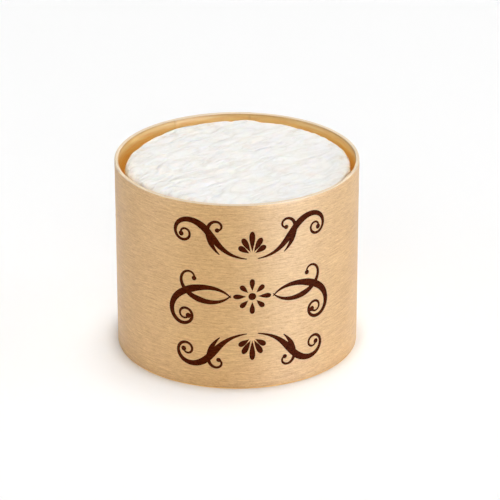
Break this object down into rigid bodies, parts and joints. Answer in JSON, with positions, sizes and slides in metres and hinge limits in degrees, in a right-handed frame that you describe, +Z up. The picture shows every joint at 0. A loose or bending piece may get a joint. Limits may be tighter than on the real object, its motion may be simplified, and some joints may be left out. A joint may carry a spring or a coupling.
{
  "type": "soft cheese in a round wooden box",
  "caption": "Soft white-rinded cheese standing in a tall, open, round box of bent wood veneer",
  "frame": {"origin": "centre of the underside that the box stands on", "axes": "+Z is up along the box's axis, -Y is the front, +X is to the right seen from the front"},
  "size_m": [0.073, 0.0731, 0.059],
  "materials": {
    "cheese_rind": "matt white bloomy rind with low soft wrinkles",
    "wall_veneer": "pale smooth peeled veneer with a fine grain running round the box",
    "base_veneer": "pale smooth peeled veneer"
  },
  "bodies": {
    "root": {"cheese": "cheese_rind", "box_wall": "wall_veneer", "box_base": "base_veneer"}
  },
  "joints": []
}
